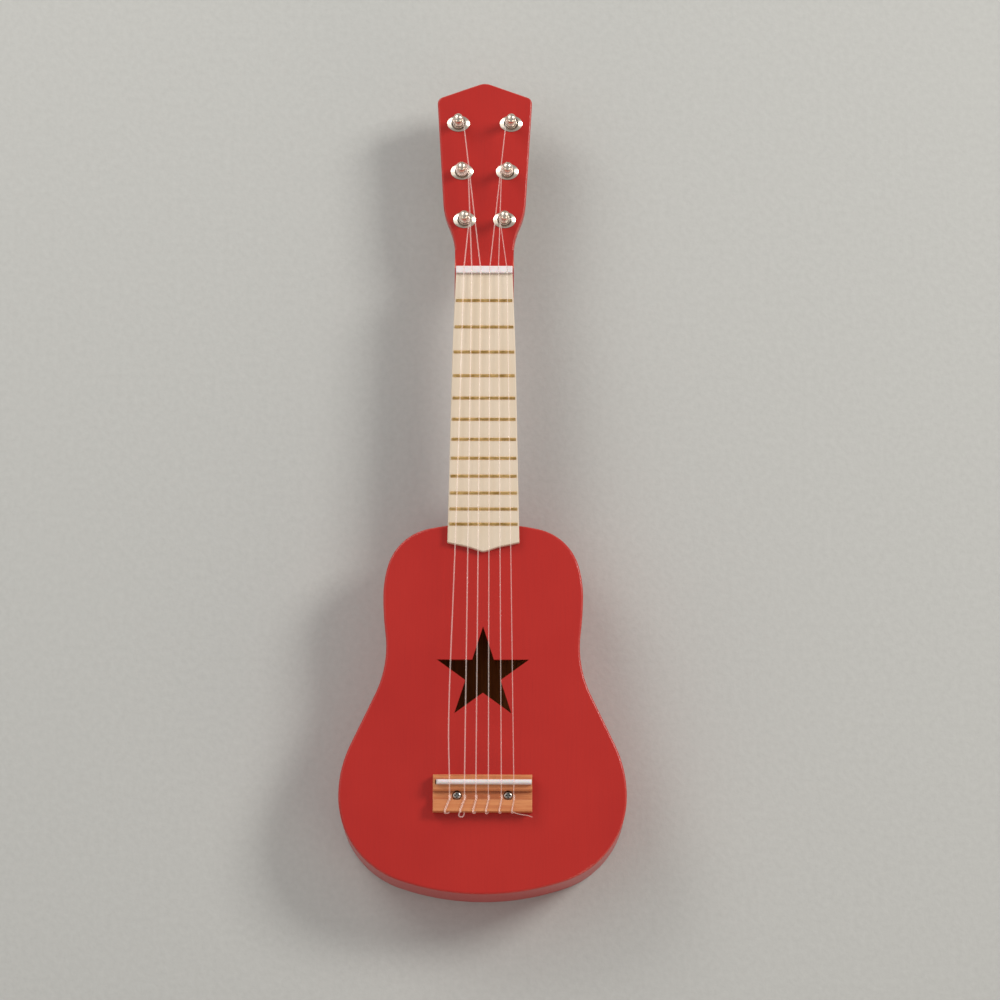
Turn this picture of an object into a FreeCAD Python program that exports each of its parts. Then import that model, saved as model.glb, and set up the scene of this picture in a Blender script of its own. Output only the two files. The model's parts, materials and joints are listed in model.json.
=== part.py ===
"""Toy six-string guitar: a hollow wooden body with a star-shaped sound hole, a stepped headstock
with six friction pegs, a pale fretboard with twelve brass frets, and a tie bridge.

Row frame, in millimetres: the guitar lies on its back. +Z is out of the front of the body, +Y runs
from the tail to the headstock, +X is the right-hand side seen from the front. The origin is on the
plane of the back, at half of the overall length. All stations along Y are measured from the tail
end, and write() moves the finished pieces into the row frame.
"""
import FreeCAD
import Part
import math
import os
from FreeCAD import Vector

# ---------------------------------------------------------------- driving dimensions
LENGTH = 533.5                      # tail to the tip of the headstock
SCALE = 332.0                       # twice the distance from the start of the frets to the twelfth
FRETS_FROM = 403.4                  # where that scale starts, a little behind the front of the nut
NUT_Y = 402.7                       # front of the nut
SADDLE_Y = 70.5                     # middle of the saddle, a little beyond the scale length
BODY_DEPTH = 50.0
PLATE = 3.0                         # soundboard and back
RIB = 3.0                           # bent sides
EDGE_ROUND = 1.5                    # rounded rim of both plates
FIT = 0.02                          # radial play of a piece glued or pressed in a hole
RUNNING = 0.05                      # radial play of a turning post
THROUGH = 1.0                       # how far a cutting tool runs past the face it opens

# body outline: half widths, stations from the tail, and radii of its tangent arcs
LOWER_HALF, LOWER_Y = 91.7, 62.8
WAIST_HALF, WAIST_Y = 61.9, 158.4
UPPER_HALF, UPPER_Y = 64.0, 191.5
BODY_TOP = 238.9
LOWER_CORNER_R, LOWER_FLANK_R, WAIST_R = 57.0, 76.0, 71.0
SHOULDER_SIDE_R, SHOULDER_R, SHOULDER_DEG = 70.0, 34.8, 16.0

STAR_R, STAR_Y = 31.0, 140.6        # sound hole: a regular five-pointed star
STAR_INNER = math.cos(math.radians(72)) / math.cos(math.radians(36))

LINING_WIDE, LINING_TALL = 5.0, 7.0
BLOCK_HALF, NECK_BLOCK_LONG, TAIL_BLOCK_LONG = 25.0, 20.0, 12.0
BRACE_WIDE, BRACE_TALL = 7.0, 6.0
FRONT_BRACES_Y, BACK_BRACES_Y = (100.0, 184.0), (60.0, 186.0)

# bridge: a tie block behind a groove, and a saddle in a slot open at one end
BRIDGE_HALF, BRIDGE_TAIL, BRIDGE_NECK, BRIDGE_TALL = 31.5, 51.9, 75.4, 7.0
BRIDGE_ROUND = 0.5
GROOVE_TAIL, GROOVE_NECK, GROOVE_DEEP, GROOVE_CHAMFER = 59.3, 65.0, 3.0, 1.0
SADDLE_WIDE, SADDLE_TALL, SADDLE_DEEP, SADDLE_BEVEL = 3.0, 3.8, 3.0, 1.3
SADDLE_LEFT, SADDLE_RIGHT, SLOT_LEFT = -29.2, 31.1, -30.0
SADDLE_PLAY = 0.03
BRIDGE_SCREW_X, BRIDGE_SCREW_Y = 16.2, 62.3
SCREW_SINK, SCREW_SINK_PLAY = 4.0, 0.3
SCREW_HEAD_R, SCREW_HEAD_RIM, SCREW_HEAD_FLAT_R, SCREW_HEAD_TALL = 2.8, 0.5, 1.9, 1.8
SCREW_SHANK_R, SCREW_LONG, SCREW_POINT = 1.5, 11.5, 3.0
RECESS_SPAN, RECESS_DEEP, RECESS_ARM = 3.4, 1.1, 0.95
TIE_HOLE_R, TIE_HOLE_UP = 0.9, 5.0
BRIDGE_PLATE_HALF, BRIDGE_PLATE_PAST, BRIDGE_PLATE_TALL = 36.0, 3.0, 3.0

# fretboard, as (half width, station) pairs: its sides ease near the middle, its end is a bracket
FRETBOARD_TALL, FRETBOARD_ROUND = 4.0, 0.6
FRETBOARD_HALF_NUT = 18.35
FRETBOARD_MID, FRETBOARD_CORNER = (20.35, 355.0), (23.1, 225.6)
FRETBOARD_SHOULDER, FRETBOARD_POINT = (10.2, 222.9), (0.0, 219.5)
FRETBOARD_SIDE_R, FRETBOARD_CORNER_R, FRETBOARD_SHOULDER_R, FRETBOARD_POINT_R = 1500.0, 0.4, 24.0, 5.5
FRET_COUNT, FRET_CROWN, FRET_TALL, FRET_SHORT = 12, 2.0, 0.9, 1.0
FRET_TANG_WIDE, FRET_TANG_DEEP = 0.6, 1.6
NUT_WIDE, NUT_OVER_FRETBOARD, NUT_SLOT_UP, NUT_ROUND = 4.7, 2.4, 2.0, 0.7

# neck: depths and half widths along it, and the heel that carries it on the body
NECK_DEEP_NUT, NECK_DEEP_BODY, NECK_SIDE, NECK_LAP = 18.0, 19.0, 6.0, 6.0
NECK_HALF_NUT, NECK_HALF_MID, NECK_MID, NECK_HALF_BODY = 19.1, 19.3, 358.0, 21.9
HEEL_LONG, HEEL_CAP_LONG, HEEL_HALF_CAP, HEEL_GAP = 40.0, 12.0, 13.0, 4.0
HEEL_SHOULDER = 8.0                 # the heel starts this far below the fretboard
HEEL_LAP = 3.0                      # and rises this far into the round back of the neck
HEEL_WAIST = (7.5, 19.0)            # its curved front passes this far beyond and above the cap
HEEL_FLARE, HEEL_FLARE_DROP = 3.0, 5.0
DOWEL_R, DOWEL_LONG, DOWELS_Z = 4.0, 26.0, (16.0, 34.0)

# headstock: stations and half widths of its corners, with the radius that rounds each
HEAD_STEP, HEAD_THICK, RAMP_LONG = 6.0, 12.0, 13.6
HEAD_S_LOW, HEAD_S_HIGH, HEAD_S_R = (NECK_HALF_NUT, 428.0), (26.5, 446.0), 45.0
HEAD_CORNER, HEAD_CORNER_R = (31.1, 523.1), 4.5
HEAD_TIP_R, HEAD_EDGE_ROUND = 11.0, 1.2
HEAD_EASE_WIDE, HEAD_EASE_TALL, HEAD_EASE_LONG = 14.0, 12.0, 20.0    # from its square back to the neck

# friction pegs: numbered as the strings, from the left
PEG_ROWS = {3: (17.2, 506.1), 2: (14.8, 473.6), 1: (13.0, 441.0)}    # half spacing, station
POST_R, POST_WAIST_R, POST_UP, POST_DOME = 3.0, 2.5, 16.0, 1.8
WAIST_FROM, WAIST_TO, POST_FLARE = 4.8, 11.5, 0.6
POST_HOLE_R, POST_HOLE_UP = 0.7, 10.3
FLANGE_HALF_X, FLANGE_HALF_Y, FLANGE_RIM, FLANGE_TALL = 7.3, 5.4, 0.4, 2.0
FLANGE_GROOVE_R, FLANGE_GROOVE_UP = 4.7, 0.6
COLLAR_R, COLLAR_UP, COLLAR_ROUND = 3.8, 3.0, 0.3
SLEEVE_R, SLEEVE_LONG = 4.2, 5.0
BACK_FLANGE_R, BACK_FLANGE_TALL, BACK_FLANGE_BEVEL = 6.0, 2.0, 0.5
BUTTON_LONG, BUTTON_HALF, BUTTON_THICK, BUTTON_CORNER_R, BUTTON_ROUND = 17.0, 9.5, 7.0, 5.0, 1.6
BUTTON_GAP, BUTTON_NECK_R, BUTTON_NECK_LONG = 0.3, 4.0, 4.0
POST_IN_BUTTON = 10.0
BUTTON_SCREW_R, BUTTON_SCREW_LONG, BUTTON_SCREW_SINK = 1.1, 8.0, 1.2
BUTTON_SCREW_HEAD_R, BUTTON_SCREW_HEAD_RIM, BUTTON_SCREW_HEAD_TALL = 2.4, 0.4, 1.4
BUTTON_SLOT_LONG, BUTTON_SLOT_WIDE, BUTTON_SLOT_DEEP = 3.4, 0.6, 0.6

# strings, from the left: diameters, and where each crosses the nut and the saddle
STRING_D = (0.85, 0.85, 0.8, 0.7, 0.65, 0.6)
STRING_AT_NUT = (-13.2, -8.05, -2.3, 3.5, 9.2, 14.8)
STRING_AT_SADDLE = (-20.9, -11.4, -4.2, 3.7, 11.9, 19.8)
STRING_BOW = {1: ((-21.8, 115.0), (-17.7, 225.0))}    # the first string is slack and bows aside
STRING_BOW_R = 400.0
STRING_UP_AT_POST = 8.4             # height of the string over the headstock where it meets the post
STRING_GAP = 0.3                    # between a string and the post that turns beside it
STRING_LIFT = 0.1                   # between a string and the wood and plastic that it bears on
WINDING_LAYERS = {1: 1, 2: 2, 3: 1, 4: 1, 5: 2, 6: 1}
WINDING_TURNS = 3
TIE_ASIDE = 1.4                     # in the groove, the tied end lies this far left of its string
TIE_LEANS = (3.0, 2.8, 1.8, 1.6, 1.5, 1.4)    # and this far left where it turns over the block
TIE_PAST, TIE_END, TIE_END_DROP = 0.6, 2.4, 0.8
TIE_BEND_R, HOLE_BEND_R, SADDLE_BEND_R, NUT_BEND_R = 1.0, 2.0, 2.5, 15.0

# ---------------------------------------------------------------- worked-out levels
TOP = BODY_DEPTH                    # front of the soundboard, and of the neck under the fretboard
INNER_LOW, INNER_HIGH = PLATE, BODY_DEPTH - PLATE
FRETBOARD_TOP = TOP + FRETBOARD_TALL
NUT_BACK = NUT_Y + NUT_WIDE
BRIDGE_TOP = TOP + BRIDGE_TALL
SADDLE_TOP = BRIDGE_TOP + SADDLE_TALL
HEAD_FACE = TOP - HEAD_STEP
HEAD_BACK = HEAD_FACE - HEAD_THICK
BUTTON_TOP = HEAD_BACK - BACK_FLANGE_TALL - BUTTON_GAP


# ---------------------------------------------------------------- helpers
def box(x0, x1, y0, y1, z0, z1):
    return Part.makeBox(x1 - x0, y1 - y0, z1 - z0, Vector(x0, y0, z0))


def cylinder(radius, start, end):
    """A round bar between two points."""
    along = end - start
    return Part.makeCylinder(radius, along.Length, start, along)


def rounded_wire(points, radii, closed):
    """Straight runs between the points, with a tangent arc of the given radius at each."""
    count = len(points)
    starts, ends, middles = {}, {}, {}
    corners = range(count) if closed else range(1, count - 1)
    for i in corners:
        before, here, after = points[i - 1], points[i], points[(i + 1) % count]
        u = (before - here).normalize()
        v = (after - here).normalize()
        half = u.getAngle(v) / 2
        reach = radii[i] / math.tan(half)
        if radii[i] <= 0 or reach < 1e-6:
            starts[i] = ends[i] = here
            continue
        starts[i], ends[i] = here + u * reach, here + v * reach
        bisector = (u + v).normalize()
        centre = here + bisector * (radii[i] / math.sin(half))
        middles[i] = centre - bisector * radii[i]
    edges = []
    for i in range(count if closed else count - 1):
        j = (i + 1) % count
        here, there = ends.get(i, points[i]), starts.get(j, points[j])
        if (there - here).Length > 1e-6:
            edges.append(Part.LineSegment(here, there).toShape())
        if j in middles:
            edges.append(Part.Arc(starts[j], middles[j], ends[j]).toShape())
    return Part.Wire(edges)


def slab(wire, z0, z1):
    """The flat wire, drawn at height 0, as a slab between two heights."""
    face = Part.Face(wire)
    face.translate(Vector(0, 0, z0))
    return face.extrude(Vector(0, 0, z1 - z0))


def prism(points, along):
    """A flat polygon pushed along a direction."""
    return Part.Face(Part.makePolygon(points + points[:1])).extrude(along)


def profile_slab(edges, along):
    """A flat outline of lines and arcs pushed along a direction."""
    return Part.Face(Part.Wire([edge.toShape() for edge in edges])).extrude(along)


def turned(profile, x, y, z):
    """A profile of (radius, height) points, or arcs of three of them, turned about the vertical."""
    edges = []
    for piece in profile:
        spots = [Vector(r, 0, h) for r, h in piece]
        curve = Part.LineSegment(*spots) if len(spots) == 2 else Part.Arc(*spots)
        edges.append(curve.toShape())
    solid = Part.Face(Part.Wire(edges)).revolve(Vector(0, 0, 0), Vector(0, 0, 1), 360)
    solid.translate(Vector(x, y, z))
    return solid


def dome(radius, top, tall):
    """The profile arc of a domed end, from its rim to its top."""
    ball = (radius ** 2 + tall ** 2) / (2 * tall)
    half = math.asin(radius / ball) / 2
    return ((radius, top - tall), (ball * math.sin(half), top - ball + ball * math.cos(half)), (0, top))


def path_profile(points):
    """Straight profile pieces that join the (radius, height) points in a closed ring."""
    return [(points[i], points[(i + 1) % len(points)]) for i in range(len(points))]


def edges_at(shape, z):
    """The edges of a shape that lie wholly at one height."""
    return [e for e in shape.Edges
            if abs(e.BoundBox.ZMin - z) < 1e-4 and abs(e.BoundBox.ZMax - z) < 1e-4]


def joined(shapes):
    return shapes[0].multiFuse(shapes[1:]).removeSplitter()


def write(name, shape):
    """Moves a piece, or a list of identical pieces, into the row frame and writes its STEP."""
    solids = [s for item in (shape if isinstance(shape, list) else [shape]) for s in item.Solids]
    for solid in solids:
        if not solid.isValid() or solid.Volume <= 0:
            raise ValueError(name + " has a bad solid")
    out = solids[0] if len(solids) == 1 else Part.makeCompound(solids)
    out = out.copy()
    out.translate(Vector(0, -LENGTH / 2, 0))
    out.exportStep("parts/" + name + ".step")
    print(name, len(solids), "solid(s)", round(sum(s.Volume for s in solids), 1), "mm3")


# ---------------------------------------------------------------- body
def outline_arcs(inset):
    """The right half of the body outline as (centre, radius, from, to) arcs in degrees."""
    half, y = LOWER_HALF, LOWER_Y
    corner = (half - LOWER_CORNER_R, y)
    tail_r = (corner[0] ** 2 + y ** 2 - LOWER_CORNER_R ** 2) / (2 * (y - LOWER_CORNER_R))
    tail = (0.0, tail_r)
    tail_to = math.degrees(math.atan2(corner[1] - tail_r, corner[0]))
    flank = (half - LOWER_FLANK_R, y)
    waist = (WAIST_HALF + WAIST_R, WAIST_Y)
    dx, dy = waist[0] - flank[0], waist[1] - flank[1]
    lean = math.degrees(math.atan2(dy, dx)
                        - math.acos((LOWER_FLANK_R + WAIST_R) / math.hypot(dx, dy)))
    across = WAIST_HALF + WAIST_R - UPPER_HALF
    rise = UPPER_Y - WAIST_Y
    upper_r = (across ** 2 + rise ** 2 - WAIST_R ** 2) / (2 * (WAIST_R - across))
    upper = (UPPER_HALF - upper_r, UPPER_Y)
    to_upper = math.degrees(math.atan2(upper[1] - waist[1], upper[0] - waist[0]))
    side = (UPPER_HALF - SHOULDER_SIDE_R, UPPER_Y)
    turn = math.radians(SHOULDER_DEG)
    reach = SHOULDER_SIDE_R - SHOULDER_R
    shoulder = (side[0] + reach * math.cos(turn), side[1] + reach * math.sin(turn))
    drop = BODY_TOP - shoulder[1]
    top_r = (shoulder[0] ** 2 + drop ** 2 - SHOULDER_R ** 2) / (2 * (drop - SHOULDER_R))
    top = (0.0, BODY_TOP - top_r)
    top_from = math.degrees(math.atan2(shoulder[1] - top[1], shoulder[0]))
    return [
        (tail, tail_r - inset, -90.0, tail_to),
        (corner, LOWER_CORNER_R - inset, tail_to, 0.0),
        (flank, LOWER_FLANK_R - inset, 0.0, lean),
        (waist, WAIST_R + inset, lean + 180.0, to_upper),
        (upper, upper_r - inset, to_upper - 180.0, 0.0),
        (side, SHOULDER_SIDE_R - inset, 0.0, SHOULDER_DEG),
        (shoulder, SHOULDER_R - inset, SHOULDER_DEG, top_from),
        (top, top_r - inset, top_from, 90.0),
    ]


def body_wire(inset=0.0):
    """The closed body outline, moved inwards by inset."""
    edges = []
    for side in (1, -1):
        last = None
        for centre, radius, start, end in outline_arcs(inset):
            spots = []
            for angle in (start, (start + end) / 2, end):
                a = math.radians(angle)
                spots.append(Vector(side * (centre[0] + radius * math.cos(a)),
                                    centre[1] + radius * math.sin(a), 0))
            if last is not None and (spots[0] - last).Length > 1e-4:
                edges.append(Part.LineSegment(last, spots[0]).toShape())
            edges.append(Part.Arc(*spots).toShape())
            last = spots[2]
    return Part.Wire(Part.__sortEdges__(edges))


def star_wire():
    spots = []
    for k in range(10):
        radius = STAR_R if k % 2 == 0 else STAR_R * STAR_INNER
        a = math.radians(90 + 36 * k)
        spots.append(Vector(radius * math.cos(a), STAR_Y + radius * math.sin(a), 0))
    return Part.makePolygon(spots + [spots[0]])


def screw_spots():
    return [Vector(x, BRIDGE_SCREW_Y, 0) for x in (-BRIDGE_SCREW_X, BRIDGE_SCREW_X)]


def screw_holes(z0, z1, radius):
    return [cylinder(radius, s + Vector(0, 0, z0), s + Vector(0, 0, z1)) for s in screw_spots()]


def soundboard():
    plate = slab(body_wire(), INNER_HIGH, TOP)
    plate = plate.makeFillet(EDGE_ROUND, edges_at(plate, TOP))
    plate = plate.cut(slab(star_wire(), INNER_HIGH - THROUGH, TOP + THROUGH))
    return plate.cut(screw_holes(INNER_HIGH - THROUGH, TOP + THROUGH, SCREW_SHANK_R + FIT))


def back_plate():
    plate = slab(body_wire(), 0, INNER_LOW)
    return plate.makeFillet(EDGE_ROUND, edges_at(plate, 0))


def dowels(play=0.0, grow=0.0):
    middle = BODY_TOP - RIB
    return [cylinder(DOWEL_R + play, Vector(0, middle - DOWEL_LONG / 2 - grow, z),
                     Vector(0, middle + DOWEL_LONG / 2 + grow, z)) for z in DOWELS_Z]


def ribs():
    """The two bent sides, which meet at the tail and under the neck."""
    ring = slab(body_wire(), INNER_LOW, INNER_HIGH).cut(slab(body_wire(RIB), INNER_LOW, INNER_HIGH))
    ring = ring.cut(dowels(FIT))
    left = ring.common(box(-LENGTH, 0, -1, LENGTH, -1, BODY_DEPTH))
    right = ring.common(box(0, LENGTH, -1, LENGTH, -1, BODY_DEPTH))
    return left, right


def blocks():
    """The solid blocks that hold the neck and close the tail joint."""
    room = slab(body_wire(RIB), INNER_LOW, INNER_HIGH)
    inside_top = BODY_TOP - RIB
    neck = room.common(box(-BLOCK_HALF, BLOCK_HALF, inside_top - NECK_BLOCK_LONG, LENGTH,
                           -1, BODY_DEPTH))
    tail = room.common(box(-BLOCK_HALF, BLOCK_HALF, -1, RIB + TAIL_BLOCK_LONG, -1, BODY_DEPTH))
    return neck.cut(dowels(FIT)), tail


def lining_strips(neck_block, tail_block):
    """Four strips that widen the glue joint between the ribs and the plates."""
    strips = []
    for z0, z1 in ((INNER_LOW, INNER_LOW + LINING_TALL), (INNER_HIGH - LINING_TALL, INNER_HIGH)):
        ring = slab(body_wire(RIB), z0, z1).cut(slab(body_wire(RIB + LINING_WIDE), z0, z1))
        strips.extend(ring.cut([neck_block, tail_block]).Solids)
    return strips


def braces():
    """Two bars across the inside of the soundboard and two across the inside of the back."""
    room = slab(body_wire(RIB + LINING_WIDE), INNER_LOW, INNER_HIGH)
    bars = []
    for stations, z0 in ((FRONT_BRACES_Y, INNER_HIGH - BRACE_TALL), (BACK_BRACES_Y, INNER_LOW)):
        for y in stations:
            bar = room.common(box(-LENGTH, LENGTH, y - BRACE_WIDE / 2, y + BRACE_WIDE / 2,
                                  z0, z0 + BRACE_TALL))
            bars.append(bar)
    return bars


def bridge_plate():
    plate = box(-BRIDGE_PLATE_HALF, BRIDGE_PLATE_HALF, BRIDGE_TAIL - BRIDGE_PLATE_PAST,
                BRIDGE_NECK + BRIDGE_PLATE_PAST, INNER_HIGH - BRIDGE_PLATE_TALL, INNER_HIGH)
    return plate.cut(screw_holes(0, TOP, SCREW_SHANK_R + FIT))


# ---------------------------------------------------------------- bridge
def bridge():
    block = box(-BRIDGE_HALF, BRIDGE_HALF, BRIDGE_TAIL, BRIDGE_NECK, TOP, BRIDGE_TOP)
    block = block.makeFillet(BRIDGE_ROUND, edges_at(block, BRIDGE_TOP))
    groove = box(-LENGTH, LENGTH, GROOVE_TAIL, GROOVE_NECK, BRIDGE_TOP - GROOVE_DEEP,
                 BRIDGE_TOP + THROUGH)
    foot = Vector(-BRIDGE_HALF - THROUGH, GROOVE_NECK - FIT, BRIDGE_TOP - GROOVE_CHAMFER)
    slope = prism([
        foot,
        foot + Vector(0, GROOVE_CHAMFER + THROUGH, GROOVE_CHAMFER + THROUGH),
        foot + Vector(0, 0, GROOVE_CHAMFER + THROUGH),
    ], Vector(2 * BRIDGE_HALF + 2 * THROUGH, 0, 0))
    half = SADDLE_WIDE / 2 + SADDLE_PLAY
    slot = box(SLOT_LEFT, BRIDGE_HALF + THROUGH, SADDLE_Y - half, SADDLE_Y + half,
               BRIDGE_TOP - SADDLE_DEEP, BRIDGE_TOP + THROUGH)
    sinks = screw_holes(BRIDGE_TOP - SCREW_SINK, BRIDGE_TOP + THROUGH, SCREW_HEAD_R + SCREW_SINK_PLAY)
    shanks = screw_holes(TOP - THROUGH, BRIDGE_TOP, SCREW_SHANK_R + FIT)
    hole_z = TOP + TIE_HOLE_UP
    ties = [cylinder(TIE_HOLE_R, Vector(x, BRIDGE_TAIL - THROUGH, hole_z),
                     Vector(x, GROOVE_TAIL + THROUGH, hole_z)) for x in STRING_AT_SADDLE]
    return block.cut([groove, slope, slot] + sinks + shanks + ties)


def saddle():
    """A bar with a round top, whose left end is cut at a slant."""
    half, low = SADDLE_WIDE / 2, BRIDGE_TOP - SADDLE_DEEP + SADDLE_PLAY
    spring = SADDLE_TOP - half
    bar = profile_slab([
        Part.LineSegment(Vector(0, -half, spring), Vector(0, -half, low)),
        Part.LineSegment(Vector(0, -half, low), Vector(0, half, low)),
        Part.LineSegment(Vector(0, half, low), Vector(0, half, spring)),
        Part.Arc(Vector(0, half, spring), Vector(0, 0, SADDLE_TOP), Vector(0, -half, spring)),
    ], Vector(SADDLE_RIGHT - SADDLE_LEFT, 0, 0))
    bar.translate(Vector(SADDLE_LEFT, SADDLE_Y, 0))
    corner = Vector(SADDLE_LEFT, SADDLE_Y - SADDLE_WIDE, SADDLE_TOP - SADDLE_BEVEL)
    slant = prism([
        corner + Vector(-THROUGH, 0, -THROUGH),
        corner + Vector(SADDLE_BEVEL + THROUGH, 0, SADDLE_BEVEL + THROUGH),
        corner + Vector(-THROUGH, 0, SADDLE_BEVEL + THROUGH),
    ], Vector(0, 2 * SADDLE_WIDE, 0))
    return bar.cut(slant)


def cross_recess(centre):
    """The crossed driver slots of a screw, sunk below centre."""
    long, short = RECESS_SPAN / 2, RECESS_ARM / 2
    return [box(centre.x - half_x, centre.x + half_x, centre.y - half_y, centre.y + half_y,
                centre.z - RECESS_DEEP, centre.z + THROUGH)
            for half_x, half_y in ((long, short), (short, long))]


def bridge_screws():
    screws = []
    seat, tall = BRIDGE_TOP - SCREW_SINK, SCREW_HEAD_TALL
    shoulder = (SCREW_HEAD_R - (SCREW_HEAD_R - SCREW_HEAD_FLAT_R) / 3, tall * 0.75)
    for spot in screw_spots():
        head = turned([((0, 0), (SCREW_HEAD_R, 0)),
                       ((SCREW_HEAD_R, 0), (SCREW_HEAD_R, SCREW_HEAD_RIM)),
                       ((SCREW_HEAD_R, SCREW_HEAD_RIM), shoulder, (SCREW_HEAD_FLAT_R, tall)),
                       ((SCREW_HEAD_FLAT_R, tall), (0, tall)),
                       ((0, tall), (0, 0))], spot.x, spot.y, seat)
        shank = turned(path_profile([(0, -SCREW_LONG), (SCREW_SHANK_R, SCREW_POINT - SCREW_LONG),
                                     (SCREW_SHANK_R, SCREW_HEAD_RIM), (0, SCREW_HEAD_RIM)]),
                       spot.x, spot.y, seat)
        screw = joined([head, shank])
        screws.append(screw.cut(cross_recess(Vector(spot.x, spot.y, seat + tall))))
    return screws


# ---------------------------------------------------------------- neck and fretboard
def neck_section(y, half, deep):
    """A D-shaped section: flat on top, straight sides, and a round back."""
    low = TOP - NECK_SIDE
    edges = [
        Part.LineSegment(Vector(half, y, low), Vector(half, y, TOP)),
        Part.LineSegment(Vector(half, y, TOP), Vector(-half, y, TOP)),
        Part.LineSegment(Vector(-half, y, TOP), Vector(-half, y, low)),
        Part.Arc(Vector(-half, y, low), Vector(0, y, TOP - deep), Vector(half, y, low)),
    ]
    return Part.Wire([e.toShape() for e in edges])


def neck_shaft():
    lower = Part.makeLoft([neck_section(BODY_TOP - NECK_LAP, NECK_HALF_BODY, NECK_DEEP_BODY),
                           neck_section(NECK_MID, NECK_HALF_MID, NECK_DEEP_NUT)], True, True)
    upper = Part.makeLoft([neck_section(NECK_MID, NECK_HALF_MID, NECK_DEEP_NUT),
                           neck_section(NUT_BACK, NECK_HALF_NUT, NECK_DEEP_NUT)], True, True)
    return joined([lower, upper])


def heel():
    """The deep foot of the neck: a curved profile from the side, narrowing towards the back."""
    y0, y1, y2 = BODY_TOP - NECK_LAP, BODY_TOP + HEEL_CAP_LONG, BODY_TOP + HEEL_LONG
    low, high = HEEL_GAP, TOP - NECK_DEEP_BODY + HEEL_LAP
    top = TOP - HEEL_SHOULDER
    waist = Vector(0, y1 + HEEL_WAIST[0], low + HEEL_WAIST[1])
    block = profile_slab([
        Part.LineSegment(Vector(0, y0, top), Vector(0, y0, low)),
        Part.LineSegment(Vector(0, y0, low), Vector(0, y1, low)),
        Part.Arc(Vector(0, y1, low), waist, Vector(0, y2, high)),
        Part.LineSegment(Vector(0, y2, high), Vector(0, y2, top)),
        Part.LineSegment(Vector(0, y2, top), Vector(0, y0, top)),
    ], Vector(2 * NECK_HALF_BODY, 0, 0))
    block.translate(Vector(-NECK_HALF_BODY, 0, 0))
    cap, wide, side = HEEL_HALF_CAP, NECK_HALF_BODY, TOP - NECK_SIDE
    flare_x, flare_z = wide - HEEL_FLARE, (low + TOP) / 2 - HEEL_FLARE_DROP
    tunnel = profile_slab([
        Part.Arc(Vector(cap, 0, low), Vector(flare_x, 0, flare_z), Vector(wide, 0, side)),
        Part.LineSegment(Vector(wide, 0, side), Vector(wide, 0, TOP)),
        Part.LineSegment(Vector(wide, 0, TOP), Vector(-wide, 0, TOP)),
        Part.LineSegment(Vector(-wide, 0, TOP), Vector(-wide, 0, side)),
        Part.Arc(Vector(-wide, 0, side), Vector(-flare_x, 0, flare_z), Vector(-cap, 0, low)),
        Part.LineSegment(Vector(-cap, 0, low), Vector(cap, 0, low)),
    ], Vector(0, LENGTH, 0))
    return block.common(tunnel)


def head_easings(start):
    """Tools that slant off the square corners where the head begins, down to the round neck."""
    tools = []
    for side in (-1, 1):
        low = Vector(side * (NECK_HALF_NUT - HEAD_EASE_WIDE), start, HEAD_BACK)
        high = Vector(side * NECK_HALF_NUT, start, HEAD_BACK + HEAD_EASE_TALL)
        end = Vector(side * NECK_HALF_NUT, start + HEAD_EASE_LONG, HEAD_BACK)
        along = end - (low + high) * 0.5
        inner, upper = low * 2 - high, high * 2 - low
        tool = prism([inner, upper, Vector(upper.x, start, inner.z)], along * 1.5)
        tool.translate(along * -0.2)
        tools.append(tool)
    return tools


def headstock():
    """The flat head, stepped below the fretboard, with a hollow ramp just behind the nut."""
    corner_x, corner_y = HEAD_CORNER
    rise = LENGTH - HEAD_TIP_R - corner_y
    slope = math.atan2(rise, corner_x) + math.asin(HEAD_TIP_R / math.hypot(rise, corner_x))
    tip = corner_y + corner_x * math.tan(slope)
    start = NUT_BACK - NECK_LAP
    half = [(NECK_HALF_NUT, start), HEAD_S_LOW, HEAD_S_HIGH, HEAD_CORNER]
    radii = [0, HEAD_S_R, HEAD_S_R, HEAD_CORNER_R]
    spots = [Vector(x, y, 0) for x, y in half] + [Vector(0, tip, 0)]
    spots += [Vector(-x, y, 0) for x, y in reversed(half)]
    outline = rounded_wire(spots, radii + [HEAD_TIP_R] + radii[::-1], True)
    flat = slab(outline, HEAD_BACK, HEAD_FACE)
    flat = flat.makeFillet(HEAD_EDGE_ROUND, edges_at(flat, HEAD_BACK) + edges_at(flat, HEAD_FACE))
    flat = flat.cut(head_easings(start))
    ramp_r = (RAMP_LONG ** 2 + HEAD_STEP ** 2) / (2 * HEAD_STEP)
    ramp_end = NUT_BACK + RAMP_LONG
    centre = Vector(-LENGTH / 2, ramp_end, HEAD_FACE + ramp_r)
    hollow = Part.makeCylinder(ramp_r, LENGTH, centre, Vector(1, 0, 0))
    raised = slab(outline, HEAD_FACE - 2 * HEAD_EDGE_ROUND, TOP)
    raised = raised.common(box(-LENGTH / 2, LENGTH / 2, start, ramp_end, 0, TOP)).cut(hollow)
    return joined([flat, raised])


def peg_spots():
    """Peg number: (x, y), left pegs 1 to 3 from the lowest row up, right pegs 4 to 6 back down."""
    spots = {row: Vector(-PEG_ROWS[row][0], PEG_ROWS[row][1], 0) for row in (1, 2, 3)}
    spots.update({7 - row: Vector(PEG_ROWS[row][0], PEG_ROWS[row][1], 0) for row in (1, 2, 3)})
    return spots


def neck():
    whole = joined([neck_shaft(), heel(), headstock()])
    whole = whole.cut(slab(body_wire(), -THROUGH, TOP + THROUGH))
    whole = whole.cut(dowels(FIT, 0.5))
    holes = [cylinder(SLEEVE_R + FIT, s + Vector(0, 0, HEAD_BACK - THROUGH),
                      s + Vector(0, 0, HEAD_FACE + THROUGH)) for s in peg_spots().values()]
    return whole.cut(holes)


def fret_station(n):
    return FRETS_FROM - SCALE * (1 - 2 ** (-n / 12))


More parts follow.
